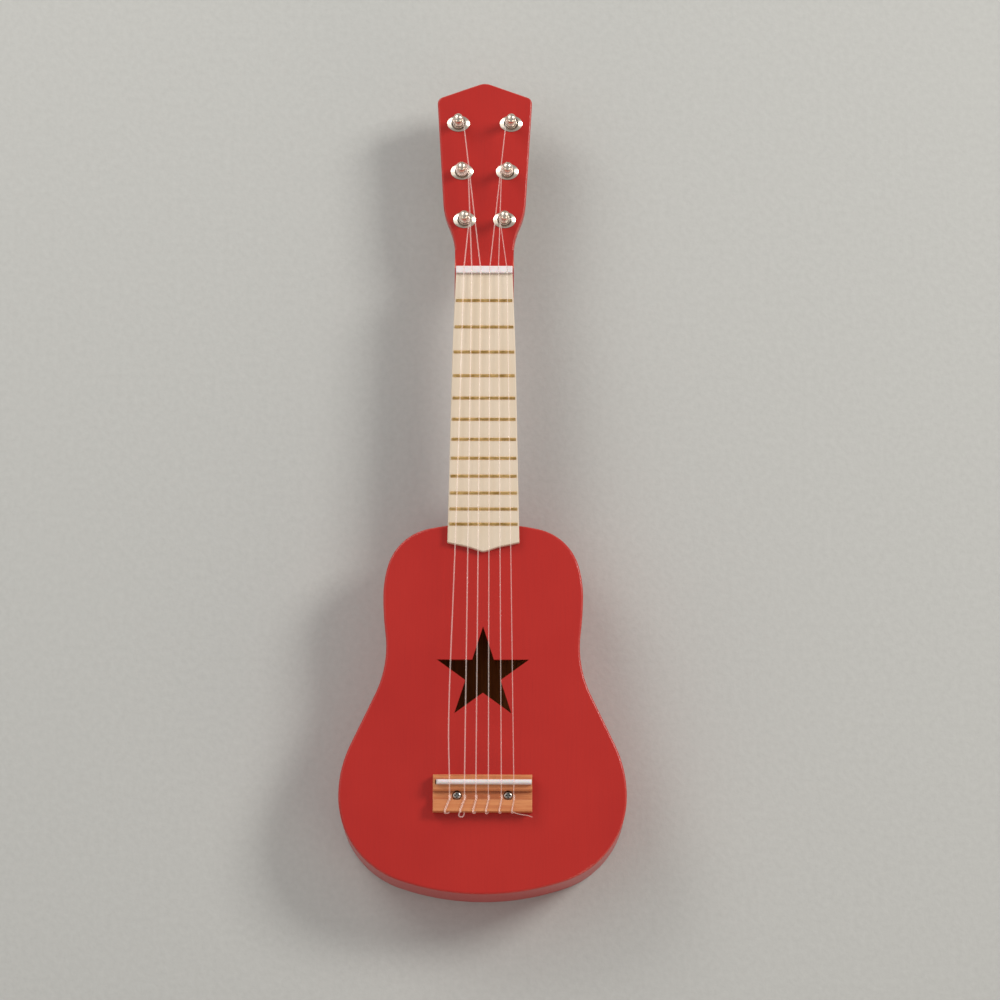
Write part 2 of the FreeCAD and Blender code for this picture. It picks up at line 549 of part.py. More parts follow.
def fretboard_half(y):
    """Half of the fretboard's width at a station, along its two nearly straight runs."""
    if y > FRETBOARD_MID[1]:
        (x0, y0), (x1, y1) = FRETBOARD_MID, (FRETBOARD_HALF_NUT, NUT_Y)
    else:
        (x0, y0), (x1, y1) = FRETBOARD_CORNER, FRETBOARD_MID
    return x0 + (x1 - x0) * (y - y0) / (y1 - y0)


def fretboard():
    """A tapered board with a bracket-shaped end over the body, and a slot for each fret."""
    half = [(FRETBOARD_HALF_NUT, NUT_Y), FRETBOARD_MID, FRETBOARD_CORNER, FRETBOARD_SHOULDER]
    radii = [0, FRETBOARD_SIDE_R, FRETBOARD_CORNER_R, FRETBOARD_SHOULDER_R]
    spots = [Vector(x, y, 0) for x, y in half + [FRETBOARD_POINT]]
    spots += [Vector(-x, y, 0) for x, y in reversed(half)]
    outline = rounded_wire(spots, radii + [FRETBOARD_POINT_R] + radii[::-1], True)
    board = slab(outline, TOP, FRETBOARD_TOP)
    board = board.makeFillet(FRETBOARD_ROUND, edges_at(board, FRETBOARD_TOP))
    slots = []
    for n in range(1, FRET_COUNT + 1):
        y, half = fret_station(n), fretboard_half(fret_station(n)) - FRET_SHORT
        slots.append(box(-half - FIT, half + FIT, y - FRET_TANG_WIDE / 2 - FIT,
                         y + FRET_TANG_WIDE / 2 + FIT, FRETBOARD_TOP - FRET_TANG_DEEP - FIT,
                         FRETBOARD_TOP + THROUGH))
    return board.cut(slots)


def fret(n):
    """A brass wire with a round crown on the board and a tang in its slot."""
    y, half = fret_station(n), fretboard_half(fret_station(n)) - FRET_SHORT
    crown = FRET_CROWN / 2
    bead = profile_slab([
        Part.Arc(Vector(0, y + crown, FRETBOARD_TOP), Vector(0, y, FRETBOARD_TOP + FRET_TALL),
                 Vector(0, y - crown, FRETBOARD_TOP)),
        Part.LineSegment(Vector(0, y - crown, FRETBOARD_TOP), Vector(0, y + crown, FRETBOARD_TOP)),
    ], Vector(2 * half, 0, 0))
    bead.translate(Vector(-half, 0, 0))
    tang = box(-half, half, y - FRET_TANG_WIDE / 2, y + FRET_TANG_WIDE / 2,
               FRETBOARD_TOP - FRET_TANG_DEEP, FRETBOARD_TOP)
    return joined([bead, tang])


def nut():
    """The nut, with a round-bottomed slot for each string, aimed along the string both ways."""
    top = FRETBOARD_TOP + NUT_OVER_FRETBOARD
    block = box(-FRETBOARD_HALF_NUT, FRETBOARD_HALF_NUT, NUT_Y, NUT_BACK, TOP, top)
    block = block.makeFillet(NUT_ROUND, edges_at(block, top))
    cuts = []
    for number in range(1, 7):
        points, radii = string_route(number)
        at_nut = radii.index(NUT_BEND_R)
        here, room = points[at_nut], STRING_D[number - 1] / 2 + 2 * FIT
        for other in (points[at_nut - 1], points[at_nut + 1]):
            away = (other - here).normalize() * NUT_WIDE
            cuts.append(cylinder(room, here - away * 0.1, here + away))
        cuts.append(box(here.x - room, here.x + room, NUT_Y - THROUGH, NUT_BACK + THROUGH,
                        here.z, BRIDGE_TOP))
    return block.cut(cuts)


# ---------------------------------------------------------------- pegs
def peg_ferrule(spot):
    """The chrome bush in the front of the head: an oval domed flange, a round collar, a sleeve."""
    flange = turned([
        ((0, 0), (FLANGE_HALF_Y, 0)),
        ((FLANGE_HALF_Y, 0), (FLANGE_HALF_Y, FLANGE_RIM)),
        dome(FLANGE_HALF_Y, FLANGE_TALL, FLANGE_TALL - FLANGE_RIM),
        ((0, FLANGE_TALL), (0, 0)),
    ], 0, 0, 0)
    stretch = FreeCAD.Matrix()
    stretch.scale(Vector(FLANGE_HALF_X / FLANGE_HALF_Y, 1, 1))
    oval = flange.transformGeometry(stretch)
    oval = oval.cut(cylinder(FLANGE_GROOVE_R, Vector(0, 0, FLANGE_GROOVE_UP), Vector(0, 0, COLLAR_UP)))
    collar = cylinder(COLLAR_R, Vector(0, 0, 0), Vector(0, 0, COLLAR_UP))
    collar = collar.makeFillet(COLLAR_ROUND, edges_at(collar, COLLAR_UP))
    sleeve = cylinder(SLEEVE_R, Vector(0, 0, -SLEEVE_LONG), Vector(0, 0, FLANGE_GROOVE_UP))
    bore = cylinder(POST_R + RUNNING, Vector(0, 0, -SLEEVE_LONG - THROUGH),
                    Vector(0, 0, COLLAR_UP + THROUGH))
    ferrule = joined([oval, collar, sleeve]).cut(bore)
    ferrule.translate(spot + Vector(0, 0, HEAD_FACE))
    return ferrule


def peg_back_collar(spot):
    bore, flat, bevel = POST_R + RUNNING, -BACK_FLANGE_TALL, BACK_FLANGE_BEVEL
    return turned(path_profile([
        (bore, flat), (BACK_FLANGE_R - bevel, flat), (BACK_FLANGE_R, flat + bevel), (BACK_FLANGE_R, 0),
        (SLEEVE_R, 0), (SLEEVE_R, SLEEVE_LONG), (bore, SLEEVE_LONG)]), spot.x, spot.y, HEAD_BACK)


def peg_post(spot):
    """The turned shaft: a waist that the string winds on, a hole for its end and a round head."""
    foot = BUTTON_TOP - POST_IN_BUTTON - HEAD_FACE
    low, high, flare = WAIST_FROM, WAIST_TO, POST_FLARE
    post = turned([
        ((0, foot), (POST_R, foot)),
        ((POST_R, foot), (POST_R, low - flare)),
        ((POST_R, low - flare), (POST_WAIST_R, low)),
        ((POST_WAIST_R, low), (POST_WAIST_R, high)),
        ((POST_WAIST_R, high), (POST_R, high + flare)),
        ((POST_R, high + flare), (POST_R, POST_UP - POST_DOME)),
        dome(POST_R, POST_UP, POST_DOME),
        ((0, POST_UP), (0, foot)),
    ], spot.x, spot.y, HEAD_FACE)
    eye = spot + Vector(0, 0, HEAD_FACE + POST_HOLE_UP)
    across = Vector(POST_R + THROUGH, 0, 0)
    end = spot + Vector(0, 0, HEAD_FACE + foot)
    thread = cylinder(BUTTON_SCREW_R + FIT, end - Vector(0, 0, THROUGH),
                      end + Vector(0, 0, BUTTON_SCREW_LONG))
    return post.cut([cylinder(POST_HOLE_R, eye - across, eye + across), thread])


def peg_button(spot):
    """The thumb button: a flat oval paddle under a round neck, screwed to the end of the post."""
    top = spot + Vector(0, 0, BUTTON_TOP)
    down = Vector(0, 0, -1)
    tall = (BUTTON_LONG - BUTTON_NECK_LONG) / 2
    stem = cylinder(BUTTON_NECK_R, top, top + down * (BUTTON_NECK_LONG + BUTTON_ROUND))
    corners = [Vector(x, z, 0) for x, z in ((-BUTTON_HALF, -tall), (BUTTON_HALF, -tall),
                                            (BUTTON_HALF, tall), (-BUTTON_HALF, tall))]
    paddle = slab(rounded_wire(corners, [BUTTON_CORNER_R] * 4, True), 0, BUTTON_THICK)
    paddle = paddle.makeFillet(BUTTON_ROUND, edges_at(paddle, 0) + edges_at(paddle, BUTTON_THICK))
    paddle.rotate(Vector(0, 0, 0), Vector(1, 0, 0), -90)
    paddle.translate(top + down * (BUTTON_NECK_LONG + tall) - Vector(0, BUTTON_THICK / 2, 0))
    bore = cylinder(POST_R + FIT, top - down * THROUGH, top + down * POST_IN_BUTTON)
    hole = cylinder(BUTTON_SCREW_R + FIT, top, top + down * (BUTTON_LONG + THROUGH))
    seat = cylinder(BUTTON_SCREW_HEAD_R + FIT, top + down * (BUTTON_LONG - BUTTON_SCREW_SINK),
                    top + down * (BUTTON_LONG + THROUGH))
    return joined([stem, paddle]).cut([bore, hole, seat])


def peg_screw(spot):
    """The small screw that holds the button on the post; its head sits in the button's end."""
    low = BUTTON_TOP - BUTTON_LONG + BUTTON_SCREW_SINK
    wide, rim, tall = BUTTON_SCREW_HEAD_R, BUTTON_SCREW_HEAD_RIM, BUTTON_SCREW_HEAD_TALL
    end = BUTTON_TOP - POST_IN_BUTTON + BUTTON_SCREW_LONG - BUTTON_SLOT_DEEP
    curve = dome(wide, tall, tall - rim)
    head = turned([((0, 0), (wide, 0)), ((wide, 0), (wide, rim)), curve, ((0, tall), (0, 0))], 0, 0, 0)
    head.rotate(Vector(0, 0, 0), Vector(1, 0, 0), 180)
    head.translate(spot + Vector(0, 0, low))
    shank = cylinder(BUTTON_SCREW_R, spot + Vector(0, 0, low - rim), spot + Vector(0, 0, end))
    slot = box(spot.x - BUTTON_SLOT_LONG / 2, spot.x + BUTTON_SLOT_LONG / 2,
               spot.y - BUTTON_SLOT_WIDE / 2, spot.y + BUTTON_SLOT_WIDE / 2,
               low - tall - THROUGH, low - tall + BUTTON_SLOT_DEEP)
    return joined([head, shank]).cut(slot)


# ---------------------------------------------------------------- strings
def wrap_radius(number):
    """Where the string lies round its post: clear of the layers already wound on it."""
    d = STRING_D[number - 1]
    return POST_WAIST_R + (WINDING_LAYERS[number] - 1) * (d + FIT) + STRING_GAP + d / 2


def tied_end(number):
    """The end that comes back over the tie block, leaves behind it and goes in at its hole."""
    x, radius = STRING_AT_SADDLE[number - 1], STRING_D[number - 1] / 2
    hole_z, over = TOP + TIE_HOLE_UP, BRIDGE_TOP + radius + STRING_LIFT
    behind = BRIDGE_TAIL - radius - TIE_PAST
    return [
        Vector(x - TIE_ASIDE, GROOVE_TAIL + TIE_END, over - TIE_END_DROP),
        Vector(x - TIE_ASIDE, GROOVE_TAIL + TIE_PAST, over),
        Vector(x - TIE_LEANS[number - 1], behind, over),
        Vector(x, behind, hole_z),
        Vector(x, GROOVE_TAIL + radius + TIE_PAST, hole_z),
    ]


def half_wrap(number, at_nut):
    """Corners of the half turn that the string makes on the inner side of its post."""
    post, wrap = peg_spots()[number], wrap_radius(number)
    hub = Vector(post.x, post.y, HEAD_FACE + STRING_UP_AT_POST)
    inner = 1 if post.x < 0 else -1
    flat = Vector(hub.x - at_nut.x, hub.y - at_nut.y, 0)
    turn = inner * math.asin(wrap / flat.Length)
    u = Vector(flat.x * math.cos(turn) + flat.y * math.sin(turn),
               flat.y * math.cos(turn) - flat.x * math.sin(turn), 0).normalize()
    n = Vector(inner * u.y, -inner * u.x, 0)
    return [hub + n * wrap + u * wrap, hub - n * wrap + u * wrap, hub - n * wrap - u * (wrap / 3)]


def string_route(number):
    """The string's corners from its tied end to the post, and the radius that rounds each."""
    x, radius = STRING_AT_SADDLE[number - 1], STRING_D[number - 1] / 2
    crest = Vector(x, SADDLE_Y, SADDLE_TOP + radius + STRING_LIFT)
    at_nut = Vector(STRING_AT_NUT[number - 1], NUT_Y + NUT_WIDE / 2,
                    FRETBOARD_TOP + NUT_SLOT_UP + radius)
    bow = []
    for bow_x, bow_y in STRING_BOW.get(number, ()):
        share = (bow_y - crest.y) / (at_nut.y - crest.y)
        bow.append(Vector(bow_x, bow_y, crest.z + (at_nut.z - crest.z) * share))
    wrap = wrap_radius(number)
    points = tied_end(number) + [crest] + bow + [at_nut] + half_wrap(number, at_nut)
    radii = [0, HOLE_BEND_R, TIE_BEND_R, TIE_BEND_R, HOLE_BEND_R, SADDLE_BEND_R]
    radii += [STRING_BOW_R] * len(bow) + [NUT_BEND_R, wrap, wrap, 0]
    return points, radii


def tube(points, radii, diameter):
    """A round string swept along straight runs joined by tangent arcs."""
    path = rounded_wire(points, radii, False)
    along = (points[1] - points[0]).normalize()
    ring = Part.Wire([Part.makeCircle(diameter / 2, points[0], along)])
    return path.makePipeShell([ring], True, False)


def winding(number):
    """Closed turns round the waist of the post, below the turn that the string arrives on."""
    post, d = peg_spots()[number], STRING_D[number - 1]
    first = HEAD_FACE + STRING_UP_AT_POST - d - STRING_GAP
    rings = []
    for layer in range(WINDING_LAYERS[number]):
        around = POST_WAIST_R + FIT + d / 2 + layer * (d + FIT)
        for k in range(WINDING_TURNS):
            centre = Vector(post.x, post.y, first - k * (d + FIT))
            rings.append(Part.makeTorus(around, d / 2, centre))
    return rings


def main():
    os.makedirs("parts", exist_ok=True)
    left, right = ribs()
    neck_block, tail_block = blocks()
    write("soundboard", soundboard())
    write("back_plate", back_plate())
    write("side_left", left)
    write("side_right", right)
    write("neck_block", neck_block)
    write("tail_block", tail_block)
    write("lining_strips", lining_strips(neck_block, tail_block))
    write("braces", braces())
    write("bridge_plate", bridge_plate())
    write("bridge", bridge())
    write("saddle", saddle())
    write("bridge_screws", bridge_screws())
    write("neck", neck())
    write("neck_dowels", dowels())
    write("fretboard", fretboard())
    for n in range(1, FRET_COUNT + 1):
        write("fret_%02d" % n, fret(n))
    write("nut", nut())
    pegs = peg_spots()
    write("peg_ferrules", [peg_ferrule(pegs[n]) for n in pegs])
    write("peg_back_collars", [peg_back_collar(pegs[n]) for n in pegs])
    for n in range(1, 7):
        write("string_%d" % n, tube(*string_route(n), STRING_D[n - 1]))
        write("string_winding_%d" % n, winding(n))
        write("peg_post_%d" % n, peg_post(pegs[n]))
        write("peg_button_%d" % n, peg_button(pegs[n]))
        write("peg_screw_%d" % n, peg_screw(pegs[n]))


main()
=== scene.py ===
import json
import math

import bpy
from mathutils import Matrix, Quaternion, Vector


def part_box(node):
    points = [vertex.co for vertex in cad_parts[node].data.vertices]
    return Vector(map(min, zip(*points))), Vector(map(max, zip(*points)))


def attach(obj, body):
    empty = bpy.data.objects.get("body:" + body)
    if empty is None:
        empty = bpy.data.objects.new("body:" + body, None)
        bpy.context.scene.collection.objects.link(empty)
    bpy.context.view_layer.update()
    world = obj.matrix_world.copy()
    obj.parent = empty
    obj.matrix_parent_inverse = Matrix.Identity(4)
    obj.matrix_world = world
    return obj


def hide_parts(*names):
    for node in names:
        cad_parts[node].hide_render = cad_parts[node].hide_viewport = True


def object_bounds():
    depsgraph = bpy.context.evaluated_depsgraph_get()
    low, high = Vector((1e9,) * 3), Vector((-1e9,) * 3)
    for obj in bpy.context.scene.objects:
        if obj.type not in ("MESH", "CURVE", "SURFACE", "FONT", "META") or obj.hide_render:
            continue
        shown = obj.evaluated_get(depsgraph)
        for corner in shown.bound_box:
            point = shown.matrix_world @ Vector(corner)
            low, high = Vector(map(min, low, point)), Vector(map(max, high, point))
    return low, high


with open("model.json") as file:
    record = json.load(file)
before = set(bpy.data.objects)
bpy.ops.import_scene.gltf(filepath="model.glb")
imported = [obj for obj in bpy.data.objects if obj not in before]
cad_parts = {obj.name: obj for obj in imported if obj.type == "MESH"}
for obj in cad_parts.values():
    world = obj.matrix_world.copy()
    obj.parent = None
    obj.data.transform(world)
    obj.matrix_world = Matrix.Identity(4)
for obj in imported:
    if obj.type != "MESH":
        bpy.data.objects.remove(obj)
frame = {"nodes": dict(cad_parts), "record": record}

CAD_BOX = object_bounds()               # the CAD model's lowest and highest corners, in metres
MM = 0.001                          # a millimetre in metres


# ---------------------------------------------------------------- node helpers
RAYS = 6                            # that the masks for corners and edges send from each point
OPEN, DEEP = 0.85, 0.35             # share of light in the open, and deep in a corner
FLAT, SHARP = 0.995, 0.80           # cosine between true and rounded normal: on a face, at an edge


def linear(red, green, blue):
    """A screen colour of 0 to 255 as the linear colour that a shader takes, by the sRGB curve."""
    out = []
    for value in (red, green, blue):
        c = value / 255
        out.append(c / 12.92 if c <= 0.04045 else ((c + 0.055) / 1.055) ** 2.4)
    return (*out, 1.0)


class Surface:
    """A node material in the making. Its helpers add nodes and return the socket to use next."""

    def __init__(self, name):
        self.material = bpy.data.materials.new(name)
        self.material.use_nodes = True
        self.tree = self.material.node_tree
        self.tree.nodes.clear()
        output = self.node("ShaderNodeOutputMaterial")
        self.shader = self.node("ShaderNodeBsdfPrincipled")
        self.tree.links.new(self.shader.outputs[0], output.inputs["Surface"])
        self.place = self.node("ShaderNodeTexCoord").outputs["Object"]

    def node(self, kind, **settings):
        """A new node of that kind, with those settings."""
        made = self.tree.nodes.new(kind)
        for key, value in settings.items():
            setattr(made, key, value)
        return made

    def feed(self, socket, value):
        """Links the socket to another node's socket, or sets it to a plain value."""
        if isinstance(value, bpy.types.NodeSocket):
            self.tree.links.new(value, socket)
        else:
            socket.default_value = value

    def shade(self, **values):
        """Sets or links the shader's sockets, named with underscores for spaces."""
        for key, value in values.items():
            self.feed(self.shader.inputs[key.replace("_", " ")], value)

    def stretched(self, x, y, z):
        """The object's own coordinates, scaled, so that features run along the smallest number."""
        mapping = self.node("ShaderNodeMapping")
        self.feed(mapping.inputs["Vector"], self.place)
        mapping.inputs["Scale"].default_value = (x, y, z)
        return mapping.outputs[0]

    def noise(self, scale, detail=3.0, rough=0.55, at=None, warp=0.0):
        """Noise of 0 to 1, with about that many features to the metre."""
        made = self.node("ShaderNodeTexNoise")
        self.feed(made.inputs["Vector"], at or self.place)
        made.inputs["Scale"].default_value = scale
        made.inputs["Detail"].default_value = detail
        made.inputs["Roughness"].default_value = rough
        made.inputs["Distortion"].default_value = warp
        return made.outputs[0]

    def span(self, value, low, high, out_low=0.0, out_high=1.0):
        """The value moved from the range low to high to the other range, and held at its ends."""
        made = self.node("ShaderNodeMapRange")
        self.feed(made.inputs["Value"], value)
        numbers = (low, high, out_low, out_high)
        for key, number in zip(("From Min", "From Max", "To Min", "To Max"), numbers):
            made.inputs[key].default_value = number
        return made.outputs[0]

    def calc(self, operation, a, b):
        """The result of a Math node."""
        made = self.node("ShaderNodeMath", operation=operation)
        self.feed(made.inputs[0], a)
        self.feed(made.inputs[1], b)
        return made.outputs[0]

    def mix(self, factor, a, b):
        """Colour a at a factor of 0, and b at 1. The sockets 6, 7 and 2 are those for colours."""
        made = self.node("ShaderNodeMix", data_type="RGBA")
        self.feed(made.inputs[0], factor)
        self.feed(made.inputs[6], a)
        self.feed(made.inputs[7], b)
        return made.outputs[2]

    def bump(self, height, depth, under=None):
        """A bump of that depth in metres, laid over an earlier one."""
        made = self.node("ShaderNodeBump")
        made.inputs["Strength"].default_value = 1.0
        made.inputs["Distance"].default_value = depth
        self.feed(made.inputs["Height"], height)
        if under is not None:
            self.feed(made.inputs["Normal"], under)
        return made.outputs[0]

    def hollow_shade(self, reach):
        """1 deep in corners and grooves no wider than about that distance, 0 in the open: a mask
        for painted shade.
        """
        made = self.node("ShaderNodeAmbientOcclusion", samples=RAYS)
        made.inputs["Distance"].default_value = reach
        return self.span(made.outputs["AO"], OPEN, DEEP)

    def edges(self, radius):
        """1 along outside edges, fading to 0 within about that distance in metres."""
        bevel = self.node("ShaderNodeBevel", samples=RAYS)
        bevel.inputs["Radius"].default_value = radius
        flat = self.node("ShaderNodeNewGeometry").outputs["Normal"]
        dot = self.node("ShaderNodeVectorMath", operation="DOT_PRODUCT")
        self.feed(dot.inputs[0], bevel.outputs[0])
        self.feed(dot.inputs[1], flat)
        return self.span(dot.outputs["Value"], FLAT, SHARP)

    def facing(self):
        """1 on faces that look straight up, 0 on upright sides, -1 on faces that look down."""
        normal = self.node("ShaderNodeSeparateXYZ")
        self.feed(normal.inputs[0], self.node("ShaderNodeNewGeometry").outputs["Normal"])
        return normal.outputs["Z"]

    def rims(self, radius):
        """1 on rounded edges only: 0 on flat faces, on upright sides and on slow curves."""
        lift = self.calc("ABSOLUTE", self.facing(), 0.0)
        # lift * (1 - lift) is 0 on flat and on upright faces, and 0.25 half way between them.
        slant = self.calc("MULTIPLY", lift, self.calc("SUBTRACT", 1.0, lift))
        tight = self.span(self.edges(radius), 0.02, 0.2)
        return self.calc("MULTIPLY", self.span(slant, 0.02, 0.16), tight)


# ---------------------------------------------------------------- materials
COAT = 0.30                         # clear coat over the red paint
BARE_FACING = (0.90, 0.95)          # how squarely a face looks inwards: still painted, bare
BARE_ROUGHNESS = 0.8


def red_paint(name="red_paint", bare_side=0):
    """Satin paint over close-grained wood. A side that looks up (1) or down (-1) can be bare."""
    s = Surface(name)
    along = s.stretched(1.0, 0.035, 1.0)
    grain = s.noise(900, detail=5, rough=0.6, at=along, warp=0.3)
    pores = s.noise(2600, detail=2, rough=0.5, at=s.stretched(1.0, 0.05, 1.0))
    broad = s.noise(14, detail=2)
    colour = s.mix(s.span(broad, 0.35, 0.65), linear(175, 32, 24), linear(181, 37, 28))
    colour = s.mix(s.span(grain, 0.45, 0.75, 0.0, 0.20), colour, linear(156, 25, 20))
    colour = s.mix(s.span(pores, 0.62, 0.72, 0.0, 0.14), colour, linear(130, 19, 16))
    # Pale pink on the rounded rims: mostly a painted highlight where the rims catch the light,
    # partly paint rubbed thin.
    wear_and_highlight = s.calc("MULTIPLY", s.rims(0.0014), s.span(s.noise(160), 0.35, 0.6, 0.6, 1.0))
    colour = s.mix(wear_and_highlight, colour, linear(246, 150, 128))
    skin = s.noise(1500, detail=2)
    rough = s.calc("ADD", s.span(skin, 0.3, 0.7, 0.36, 0.44), s.span(grain, 0.4, 0.7, 0.0, 0.05))
    relief = s.bump(grain, 0.00004)
    relief = s.bump(skin, 0.00002, relief)
    coat = COAT
    if bare_side:
        inside = s.span(s.calc("MULTIPLY", s.facing(), bare_side), *BARE_FACING)
        wood = s.mix(s.span(grain, 0.35, 0.7), linear(190, 106, 46), linear(156, 80, 32))
        colour = s.mix(inside, colour, wood)
        rough = s.calc("MAXIMUM", rough, s.calc("MULTIPLY", inside, BARE_ROUGHNESS))
        coat = s.span(inside, 0.0, 1.0, COAT, 0.0)
    s.shade(Base_Color=colour, Roughness=rough, Normal=relief, Coat_Weight=coat)
    s.shade(Specular_IOR_Level=0.26, Coat_Roughness=0.14)
    return s.material


def raw_wood():
    """The unpainted plywood and softwood inside the body."""
    s = Surface("inner_wood")
    grain = s.noise(420, detail=5, rough=0.6, at=s.stretched(1.0, 0.05, 1.0), warp=0.6)
    rings = s.noise(60, detail=2, at=s.stretched(1.0, 0.08, 1.0), warp=1.0)
    colour = s.mix(s.span(grain, 0.35, 0.7), linear(208, 162, 78), linear(168, 120, 54))
    colour = s.mix(s.span(rings, 0.5, 0.7, 0.0, 0.4), colour, linear(140, 92, 38))
    s.shade(Base_Color=colour, Roughness=s.span(grain, 0.3, 0.7, 0.62, 0.78))
    s.shade(Normal=s.bump(grain, 0.00012), Specular_IOR_Level=0.06)
    return s.material


def bridge_wood():
    """Varnished softwood with its year rings running across the guitar."""
    s = Surface("bridge_wood")
    across = s.stretched(0.06, 1.0, 1.0)
    rings = s.noise(330, detail=3, rough=0.5, at=across, warp=0.8)
    fibre = s.noise(1500, detail=4, rough=0.6, at=s.stretched(0.04, 1.0, 1.0))
    colour = s.mix(s.span(rings, 0.35, 0.66), linear(215, 139, 87), linear(192, 109, 63))
    colour = s.mix(s.span(fibre, 0.5, 0.75, 0.0, 0.4), colour, linear(158, 84, 42))
    # Paler outside edges: partly wear, partly a painted highlight on the rounded edges.
    wear_and_highlight = s.calc("MULTIPLY", s.edges(0.0006), 0.6)
    colour = s.mix(wear_and_highlight, colour, linear(238, 178, 140))
    # Painted shade: darker brown in the groove under the ledge and in other tight corners.
    colour = s.mix(s.calc("MULTIPLY", s.hollow_shade(0.006), 0.3), colour, linear(122, 56, 24))
    relief = s.bump(rings, 0.00008)
    relief = s.bump(fibre, 0.00005, relief)
    s.shade(Base_Color=colour, Roughness=s.span(fibre, 0.3, 0.7, 0.36, 0.54), Normal=relief)
    s.shade(Specular_IOR_Level=0.45)
    return s.material


def fretboard_wood():
    """Pale close-grained wood with faint streaks along the neck."""
    s = Surface("fretboard_wood")
    streaks = s.noise(1100, detail=5, rough=0.65, at=s.stretched(1.0, 0.02, 1.0), warp=0.2)
    broad = s.noise(60, detail=2, at=s.stretched(1.0, 0.2, 1.0))
    flecks = s.noise(3200, detail=1, at=s.stretched(1.0, 0.06, 1.0))
    colour = s.mix(s.span(broad, 0.35, 0.65), linear(221, 205, 184), linear(216, 198, 173))
    colour = s.mix(s.span(streaks, 0.5, 0.8, 0.0, 0.20), colour, linear(214, 180, 148))
    colour = s.mix(s.span(flecks, 0.68, 0.76, 0.0, 0.2), colour, linear(176, 140, 108))
    relief = s.bump(streaks, 0.00003)
    s.shade(Base_Color=colour, Roughness=s.span(streaks, 0.3, 0.7, 0.46, 0.58), Normal=relief)
    s.shade(Specular_IOR_Level=0.4)
    return s.material


def fret_brass():
    """Dull brass wire, polished by the strings and scratched across."""
    s = Surface("fret_brass")
    scratch = s.noise(2200, detail=3, at=s.stretched(0.1, 1.0, 1.0))
    dull = s.noise(260, detail=3)
    colour = s.mix(s.span(dull, 0.4, 0.65), linear(247, 207, 136), linear(202, 160, 91))
    s.shade(Base_Color=colour, Roughness=s.span(scratch, 0.3, 0.7, 0.24, 0.40))
    s.shade(Normal=s.bump(scratch, 0.00002), Metallic=1.0)
    return s.material


def white_plastic():
    """The moulded nut and saddle, with light rubbing marks."""
    s = Surface("white_plastic")
    cloud = s.noise(220, detail=2)
    rubbed = s.noise(1800, detail=3, at=s.stretched(0.12, 1.0, 1.0))
    colour = s.mix(s.span(cloud, 0.35, 0.65), linear(235, 225, 224), linear(228, 217, 214))
    s.shade(Base_Color=colour, Roughness=s.span(rubbed, 0.3, 0.7, 0.32, 0.46))
    s.shade(Normal=s.bump(rubbed, 0.00002), Subsurface_Weight=0.15, Subsurface_Scale=0.001)
    return s.material


def peg_chrome():
    """Plated metal, bright with faint smears and turning marks, and painted shade in its grooves.
    """
    s = Surface("peg_chrome")
    smear = s.noise(180, detail=3)
    turned = s.noise(2400, detail=2, at=s.stretched(0.4, 0.4, 3.0))
    colour = s.mix(s.span(smear, 0.35, 0.65), linear(241, 227, 209), linear(227, 211, 191))
    # Painted shade: dark brown in the groove round the collar and other tight corners.
    colour = s.mix(s.hollow_shade(0.0018), colour, linear(74, 58, 44))
    rough = s.calc("ADD", s.span(smear, 0.35, 0.7, 0.22, 0.30), s.span(turned, 0.4, 0.7, 0.0, 0.05))
    s.shade(Base_Color=colour, Roughness=rough, Metallic=1.0)
    s.shade(Normal=s.bump(turned, 0.000008))
    return s.material


def screw_steel():
    """Brushed screw heads with dull stains, and painted shade in their recesses."""
    s = Surface("screw_steel")
    stain = s.noise(500, detail=4)
    brushed = s.noise(4200, detail=2)
    colour = s.mix(s.span(stain, 0.45, 0.65), linear(226, 220, 210), linear(160, 150, 136))
    # Painted shade: near black in the screws' cross recesses.
    colour = s.mix(s.hollow_shade(0.0016), colour, linear(52, 40, 32))
    s.shade(Base_Color=colour, Roughness=s.span(brushed, 0.3, 0.7, 0.20, 0.36), Metallic=1.0)
    s.shade(Normal=s.bump(brushed, 0.00001))
    return s.material


def button_plastic():
    """Glossy cream moulding with a soft cloudy figure."""
    s = Surface("button_plastic")
    cloud = s.noise(120, detail=3, warp=1.2)
    fine = s.noise(1600, detail=2)
    colour = s.mix(s.span(cloud, 0.35, 0.68), linear(238, 232, 218), linear(216, 206, 186))
    s.shade(Base_Color=colour, Roughness=s.span(fine, 0.3, 0.7, 0.20, 0.30))
    s.shade(Normal=s.bump(fine, 0.00001), Subsurface_Weight=0.2, Subsurface_Scale=0.0015)
    return s.material


def nylon():
    """Milky monofilament, half see-through. A faint glow stands in for light scattered inside."""
    s = Surface("nylon")
    drawn = s.noise(900, detail=2, at=s.stretched(1.0, 0.05, 1.0))
    colour = s.mix(s.span(drawn, 0.35, 0.65), linear(255, 250, 244), linear(250, 238, 228))
    s.shade(Base_Color=colour, Roughness=s.span(drawn, 0.3, 0.7, 0.18, 0.30))
    s.shade(Alpha=0.24, IOR=1.45, Specular_IOR_Level=0.6, Transmission_Weight=0.4)
    # Painted glow: a pinkish emission standing in for light scattered in the string and red light
    # thrown up from the body.
    s.shade(Emission_Color=linear(255, 196, 180), Emission_Strength=0.18)
    return s.material


def studio_paper():
    """The pale matt surface that the guitar lies on."""
    s = Surface("studio_paper")
    grit = s.noise(260, detail=4)
    colour = s.mix(s.span(grit, 0.3, 0.7), linear(185, 185, 180), linear(191, 191, 186))
    s.shade(Base_Color=colour, Roughness=s.span(grit, 0.3, 0.7, 0.85, 0.95))
    s.shade(Normal=s.bump(grit, 0.0002), Specular_IOR_Level=0.2)
    return s.material


